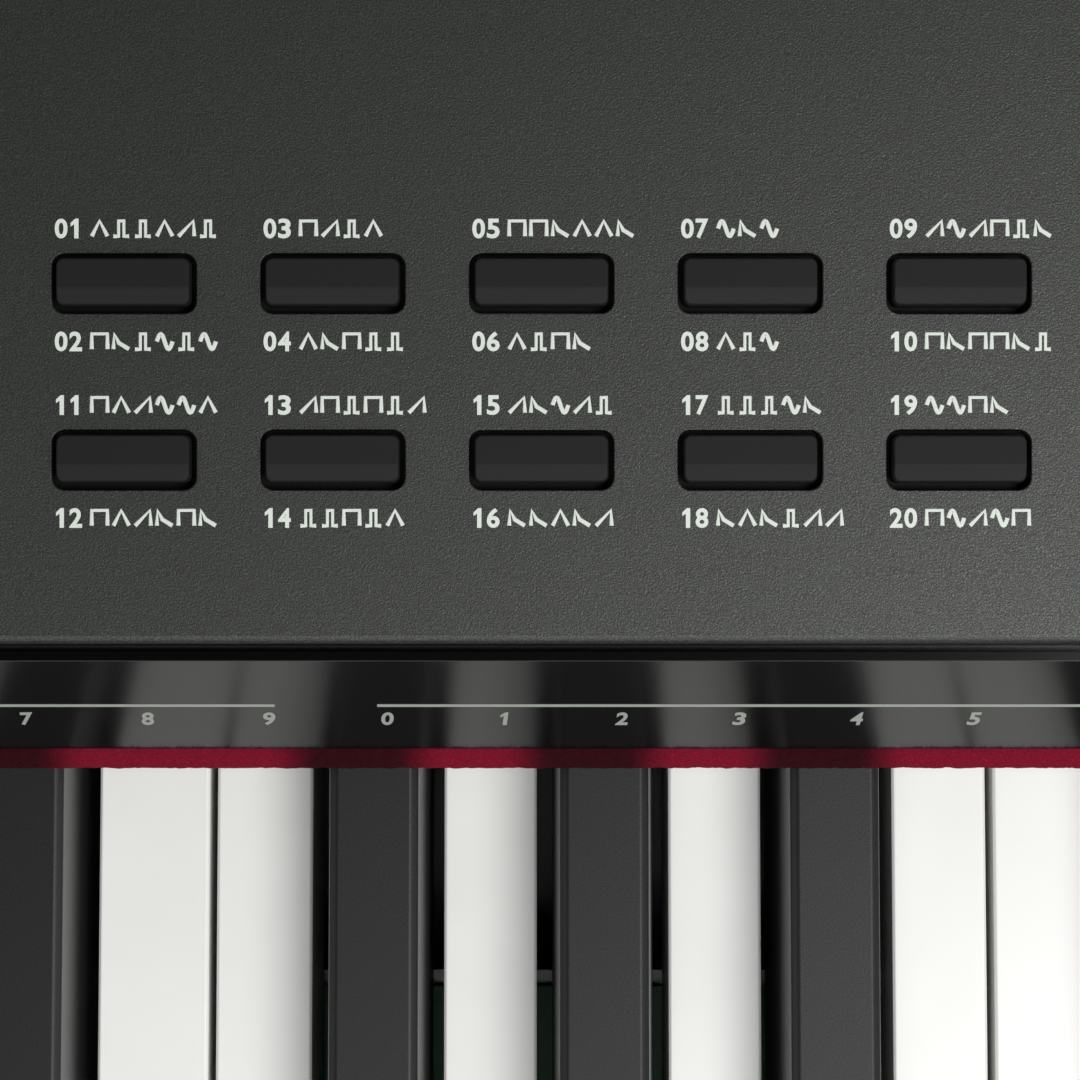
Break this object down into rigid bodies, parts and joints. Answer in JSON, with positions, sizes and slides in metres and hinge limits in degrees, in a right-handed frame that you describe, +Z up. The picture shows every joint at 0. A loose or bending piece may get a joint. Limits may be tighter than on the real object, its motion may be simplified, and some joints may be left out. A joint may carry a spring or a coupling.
{
  "type": "stage piano",
  "caption": "Slim stage piano with hinged full-size keys, red felt, sloping gloss strip and a grey panel with sprung voice buttons.",
  "frame": {"origin": "on the floor, under the middle of the piano", "axes": "+X along the keyboard to the treble end, +Y to the back, +Z up"},
  "size_m": [1.324, 0.3334, 0.1307],
  "materials": {
    "white_key": "satin moulded plastic, lightly polished",
    "black_key": "matt moulded plastic",
    "panel_paint": "fine metallic fleck paint, dark grey",
    "case_plastic": "fine grained moulding",
    "rear_steel": "powder coat, fine texture",
    "gloss_strip": "polished black",
    "red_felt": "pressed wool felt, crimson",
    "grey_felt": "pressed felt, grey",
    "button_cap": "satin, soft to the touch",
    "bottom_wood": "fibre board, painted black",
    "frame_steel": "zinc plated, dull",
    "circuit_board": "green solder mask",
    "display_pane": "smoked clear acrylic, polished",
    "display_cell": "display module in its frame",
    "foot_rubber": "matt rubber",
    "socket_plastic": "moulded black plastic"
  },
  "bodies": {
    "case": {"bottom_board": "bottom_wood", "front_rail": "bottom_wood", "left_cheek": "case_plastic", "right_cheek": "case_plastic", "rear_panel": "rear_steel", "top_panel": "panel_paint", "key_strip": "gloss_strip", "felt_strip": "red_felt", "key_frame": "frame_steel", "key_stop_felt": "grey_felt", "contact_board": "circuit_board", "main_board": "circuit_board", "button_board": "circuit_board", "display_window": "display_pane", "display_module": "display_cell", "power_inlet": "socket_plastic", "data_socket": "socket_plastic", "pedal_jack": "socket_plastic", "line_out_right_jack": "socket_plastic", "line_out_left_jack": "socket_plastic", "headphone_jack": "socket_plastic", "front_left_foot": "foot_rubber", "front_right_foot": "foot_rubber", "rear_left_foot": "foot_rubber", "rear_right_foot": "foot_rubber"},
    "key_d4": {"key_d4": "white_key"},
    "key_e4": {"key_e4": "white_key"},
    "key_f4": {"key_f4": "white_key"},
    "key_g4": {"key_g4": "white_key"},
    "key_a4": {"key_a4": "white_key"},
    "key_b4": {"key_b4": "white_key"},
    "key_c5": {"key_c5": "white_key"},
    "key_d_sharp_4": {"key_d_sharp_4": "black_key"},
    "key_f_sharp_4": {"key_f_sharp_4": "black_key"},
    "key_g_sharp_4": {"key_g_sharp_4": "black_key"},
    "key_a_sharp_4": {"key_a_sharp_4": "black_key"},
    "white_keys_first_set": {"white_keys_first_set": "white_key"},
    "black_keys_first_set": {"black_keys_first_set": "black_key"},
    "white_keys_second_set": {"white_keys_second_set": "white_key"},
    "black_keys_second_set": {"black_keys_second_set": "black_key"},
    "white_keys_third_set": {"white_keys_third_set": "white_key"},
    "black_keys_third_set": {"black_keys_third_set": "black_key"},
    "white_keys_fourth_set": {"white_keys_fourth_set": "white_key"},
    "black_keys_fourth_set": {"black_keys_fourth_set": "black_key"},
    "white_keys_fifth_set": {"white_keys_fifth_set": "white_key"},
    "black_keys_fifth_set": {"black_keys_fifth_set": "black_key"},
    "white_keys_sixth_set": {"white_keys_sixth_set": "white_key"},
    "black_keys_sixth_set": {"black_keys_sixth_set": "black_key"},
    "voice_button_1": {"voice_button_1": "button_cap"},
    "voice_button_2": {"voice_button_2": "button_cap"},
    "voice_button_3": {"voice_button_3": "button_cap"},
    "voice_button_4": {"voice_button_4": "button_cap"},
    "voice_button_5": {"voice_button_5": "button_cap"},
    "voice_button_6": {"voice_button_6": "button_cap"},
    "voice_button_7": {"voice_button_7": "button_cap"},
    "voice_button_8": {"voice_button_8": "button_cap"},
    "voice_button_9": {"voice_button_9": "button_cap"},
    "voice_button_10": {"voice_button_10": "button_cap"},
    "power_button": {"power_button": "button_cap"},
    "volume_knob": {"volume_knob": "button_cap"}
  },
  "joints": [
    {"name": "key_d4_hinge", "type": "hinge", "parent": "case", "child": "key_d4", "pos_m": [0, 0.06534, 0.058], "axis": [1, 0, 0], "range_deg": [0, 2.72], "stiffness_Nm_per_rad": 0.9, "springref_deg": -10.03},
    {"name": "key_e4_hinge", "type": "hinge", "parent": "case", "child": "key_e4", "pos_m": [0, 0.06534, 0.058], "axis": [1, 0, 0], "range_deg": [0, 2.72], "stiffness_Nm_per_rad": 0.9, "springref_deg": -10.03},
    {"name": "key_f4_hinge", "type": "hinge", "parent": "case", "child": "key_f4", "pos_m": [0, 0.06534, 0.058], "axis": [1, 0, 0], "range_deg": [0, 2.72], "stiffness_Nm_per_rad": 0.9, "springref_deg": -10.03},
    {"name": "key_g4_hinge", "type": "hinge", "parent": "case", "child": "key_g4", "pos_m": [0, 0.06534, 0.058], "axis": [1, 0, 0], "range_deg": [0, 2.72], "stiffness_Nm_per_rad": 0.9, "springref_deg": -10.03},
    {"name": "key_a4_hinge", "type": "hinge", "parent": "case", "child": "key_a4", "pos_m": [0, 0.06534, 0.058], "axis": [1, 0, 0], "range_deg": [0, 2.72], "stiffness_Nm_per_rad": 0.9, "springref_deg": -10.03},
    {"name": "key_b4_hinge", "type": "hinge", "parent": "case", "child": "key_b4", "pos_m": [0, 0.06534, 0.058], "axis": [1, 0, 0], "range_deg": [0, 2.72], "stiffness_Nm_per_rad": 0.9, "springref_deg": -10.03},
    {"name": "key_c5_hinge", "type": "hinge", "parent": "case", "child": "key_c5", "pos_m": [0, 0.06534, 0.058], "axis": [1, 0, 0], "range_deg": [0, 2.72], "stiffness_Nm_per_rad": 0.9, "springref_deg": -10.03},
    {"name": "key_d_sharp_4_hinge", "type": "hinge", "parent": "case", "child": "key_d_sharp_4", "pos_m": [0, 0.06534, 0.058], "axis": [1, 0, 0], "range_deg": [0, 2.72], "stiffness_Nm_per_rad": 0.9, "springref_deg": -10.03},
    {"name": "key_f_sharp_4_hinge", "type": "hinge", "parent": "case", "child": "key_f_sharp_4", "pos_m": [0, 0.06534, 0.058], "axis": [1, 0, 0], "range_deg": [0, 2.72], "stiffness_Nm_per_rad": 0.9, "springref_deg": -10.03},
    {"name": "key_g_sharp_4_hinge", "type": "hinge", "parent": "case", "child": "key_g_sharp_4", "pos_m": [0, 0.06534, 0.058], "axis": [1, 0, 0], "range_deg": [0, 2.72], "stiffness_Nm_per_rad": 0.9, "springref_deg": -10.03},
    {"name": "key_a_sharp_4_hinge", "type": "hinge", "parent": "case", "child": "key_a_sharp_4", "pos_m": [0, 0.06534, 0.058], "axis": [1, 0, 0], "range_deg": [0, 2.72], "stiffness_Nm_per_rad": 0.9, "springref_deg": -10.03},
    {"name": "white_keys_first_set_hinge", "type": "hinge", "parent": "case", "child": "white_keys_first_set", "pos_m": [0, 0.06534, 0.058], "axis": [1, 0, 0], "range_deg": [0, 2.72], "stiffness_Nm_per_rad": 7.2, "springref_deg": -10.03},
    {"name": "black_keys_first_set_hinge", "type": "hinge", "parent": "case", "child": "black_keys_first_set", "pos_m": [0, 0.06534, 0.058], "axis": [1, 0, 0], "range_deg": [0, 2.72], "stiffness_Nm_per_rad": 5.4, "springref_deg": -10.03},
    {"name": "white_keys_second_set_hinge", "type": "hinge", "parent": "case", "child": "white_keys_second_set", "pos_m": [0, 0.06534, 0.058], "axis": [1, 0, 0], "range_deg": [0, 2.72], "stiffness_Nm_per_rad": 7.2, "springref_deg": -10.03},
    {"name": "black_keys_second_set_hinge", "type": "hinge", "parent": "case", "child": "black_keys_second_set", "pos_m": [0, 0.06534, 0.058], "axis": [1, 0, 0], "range_deg": [0, 2.72], "stiffness_Nm_per_rad": 4.5, "springref_deg": -10.03},
    {"name": "white_keys_third_set_hinge", "type": "hinge", "parent": "case", "child": "white_keys_third_set", "pos_m": [0, 0.06534, 0.058], "axis": [1, 0, 0], "range_deg": [0, 2.72], "stiffness_Nm_per_rad": 7.2, "springref_deg": -10.03},
    {"name": "black_keys_third_set_hinge", "type": "hinge", "parent": "case", "child": "black_keys_third_set", "pos_m": [0, 0.06534, 0.058], "axis": [1, 0, 0], "range_deg": [0, 2.72], "stiffness_Nm_per_rad": 5.4, "springref_deg": -10.03},
    {"name": "white_keys_fourth_set_hinge", "type": "hinge", "parent": "case", "child": "white_keys_fourth_set", "pos_m": [0, 0.06534, 0.058], "axis": [1, 0, 0], "range_deg": [0, 2.72], "stiffness_Nm_per_rad": 5.4, "springref_deg": -10.03},
    {"name": "black_keys_fourth_set_hinge", "type": "hinge", "parent": "case", "child": "black_keys_fourth_set", "pos_m": [0, 0.06534, 0.058], "axis": [1, 0, 0], "range_deg": [0, 2.72], "stiffness_Nm_per_rad": 4.5, "springref_deg": -10.03},
    {"name": "white_keys_fifth_set_hinge", "type": "hinge", "parent": "case", "child": "white_keys_fifth_set", "pos_m": [0, 0.06534, 0.058], "axis": [1, 0, 0], "range_deg": [0, 2.72], "stiffness_Nm_per_rad": 6.3, "springref_deg": -10.03},
    {"name": "black_keys_fifth_set_hinge", "type": "hinge", "parent": "case", "child": "black_keys_fifth_set", "pos_m": [0, 0.06534, 0.058], "axis": [1, 0, 0], "range_deg": [0, 2.72], "stiffness_Nm_per_rad": 4.5, "springref_deg": -10.03},
    {"name": "white_keys_sixth_set_hinge", "type": "hinge", "parent": "case", "child": "white_keys_sixth_set", "pos_m": [0, 0.06534, 0.058], "axis": [1, 0, 0], "range_deg": [0, 2.72], "stiffness_Nm_per_rad": 7.2, "springref_deg": -10.03},
    {"name": "black_keys_sixth_set_hinge", "type": "hinge", "parent": "case", "child": "black_keys_sixth_set", "pos_m": [0, 0.06534, 0.058], "axis": [1, 0, 0], "range_deg": [0, 2.72], "stiffness_Nm_per_rad": 4.5, "springref_deg": -10.03},
    {"name": "voice_button_1_push", "type": "slide", "parent": "case", "child": "voice_button_1", "axis": [0, 0.0767, -0.9971], "range_m": [0, 0.0008], "stiffness_N_per_m": 1200, "springref_m": -0.0004},
    {"name": "voice_button_2_push", "type": "slide", "parent": "case", "child": "voice_button_2", "axis": [0, 0.0767, -0.9971], "range_m": [0, 0.0008], "stiffness_N_per_m": 1200, "springref_m": -0.0004},
    {"name": "voice_button_3_push", "type": "slide", "parent": "case", "child": "voice_button_3", "axis": [0, 0.0767, -0.9971], "range_m": [0, 0.0008], "stiffness_N_per_m": 1200, "springref_m": -0.0004},
    {"name": "voice_button_4_push", "type": "slide", "parent": "case", "child": "voice_button_4", "axis": [0, 0.0767, -0.9971], "range_m": [0, 0.0008], "stiffness_N_per_m": 1200, "springref_m": -0.0004},
    {"name": "voice_button_5_push", "type": "slide", "parent": "case", "child": "voice_button_5", "axis": [0, 0.0767, -0.9971], "range_m": [0, 0.0008], "stiffness_N_per_m": 1200, "springref_m": -0.0004},
    {"name": "voice_button_6_push", "type": "slide", "parent": "case", "child": "voice_button_6", "axis": [0, 0.0767, -0.9971], "range_m": [0, 0.0008], "stiffness_N_per_m": 1200, "springref_m": -0.0004},
    {"name": "voice_button_7_push", "type": "slide", "parent": "case", "child": "voice_button_7", "axis": [0, 0.0767, -0.9971], "range_m": [0, 0.0008], "stiffness_N_per_m": 1200, "springref_m": -0.0004},
    {"name": "voice_button_8_push", "type": "slide", "parent": "case", "child": "voice_button_8", "axis": [0, 0.0767, -0.9971], "range_m": [0, 0.0008], "stiffness_N_per_m": 1200, "springref_m": -0.0004},
    {"name": "voice_button_9_push", "type": "slide", "parent": "case", "child": "voice_button_9", "axis": [0, 0.0767, -0.9971], "range_m": [0, 0.0008], "stiffness_N_per_m": 1200, "springref_m": -0.0004},
    {"name": "voice_button_10_push", "type": "slide", "parent": "case", "child": "voice_button_10", "axis": [0, 0.0767, -0.9971], "range_m": [0, 0.0008], "stiffness_N_per_m": 1200, "springref_m": -0.0004},
    {"name": "power_button_push", "type": "slide", "parent": "case", "child": "power_button", "axis": [0, 0.0767, -0.9971], "range_m": [0, 0.0008], "stiffness_N_per_m": 1200, "springref_m": -0.0004},
    {"name": "volume_knob_turn", "type": "hinge", "parent": "case", "child": "volume_knob", "pos_m": [-0.5, 0.05454, 0.11782], "axis": [0, -0.0767, 0.9971], "range_deg": [-140, 140]}
  ]
}
